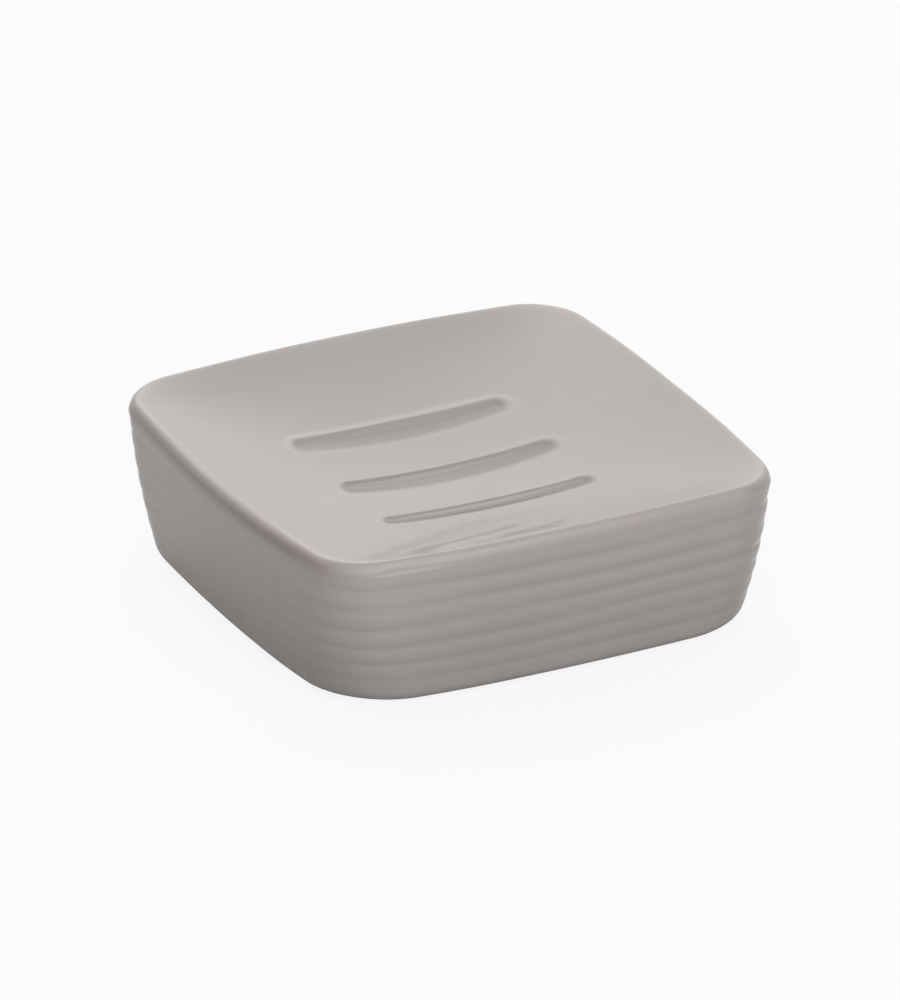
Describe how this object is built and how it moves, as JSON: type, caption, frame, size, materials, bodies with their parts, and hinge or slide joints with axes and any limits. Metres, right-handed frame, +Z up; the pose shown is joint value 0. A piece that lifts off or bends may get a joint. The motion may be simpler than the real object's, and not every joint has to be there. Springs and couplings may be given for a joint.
{
  "type": "soap dish",
  "caption": "Square ceramic soap dish with rounded corners, a softly ribbed outer wall that narrows to the foot, and a dished top with recessed drain grooves.",
  "frame": {"origin": "centre of the dish on the surface that its pads stand on", "axes": "+Z up, +X to the right along the drain grooves, +Y to the rear"},
  "size_m": [0.11, 0.11, 0.0352],
  "materials": {
    "glaze": "glossy taupe grey glaze",
    "stopper": "soft translucent white stopper",
    "pad": "matt black foam rubber",
    "adhesive": "double-sided adhesive film"
  },
  "bodies": {
    "root": {"dish_body": "glaze", "pour_hole_plug": "stopper", "foot_pad_front_left": "pad", "pad_adhesive_front_left": "adhesive", "foot_pad_front_right": "pad", "pad_adhesive_front_right": "adhesive", "foot_pad_rear_left": "pad", "pad_adhesive_rear_left": "adhesive", "foot_pad_rear_right": "pad", "pad_adhesive_rear_right": "adhesive"}
  },
  "joints": []
}
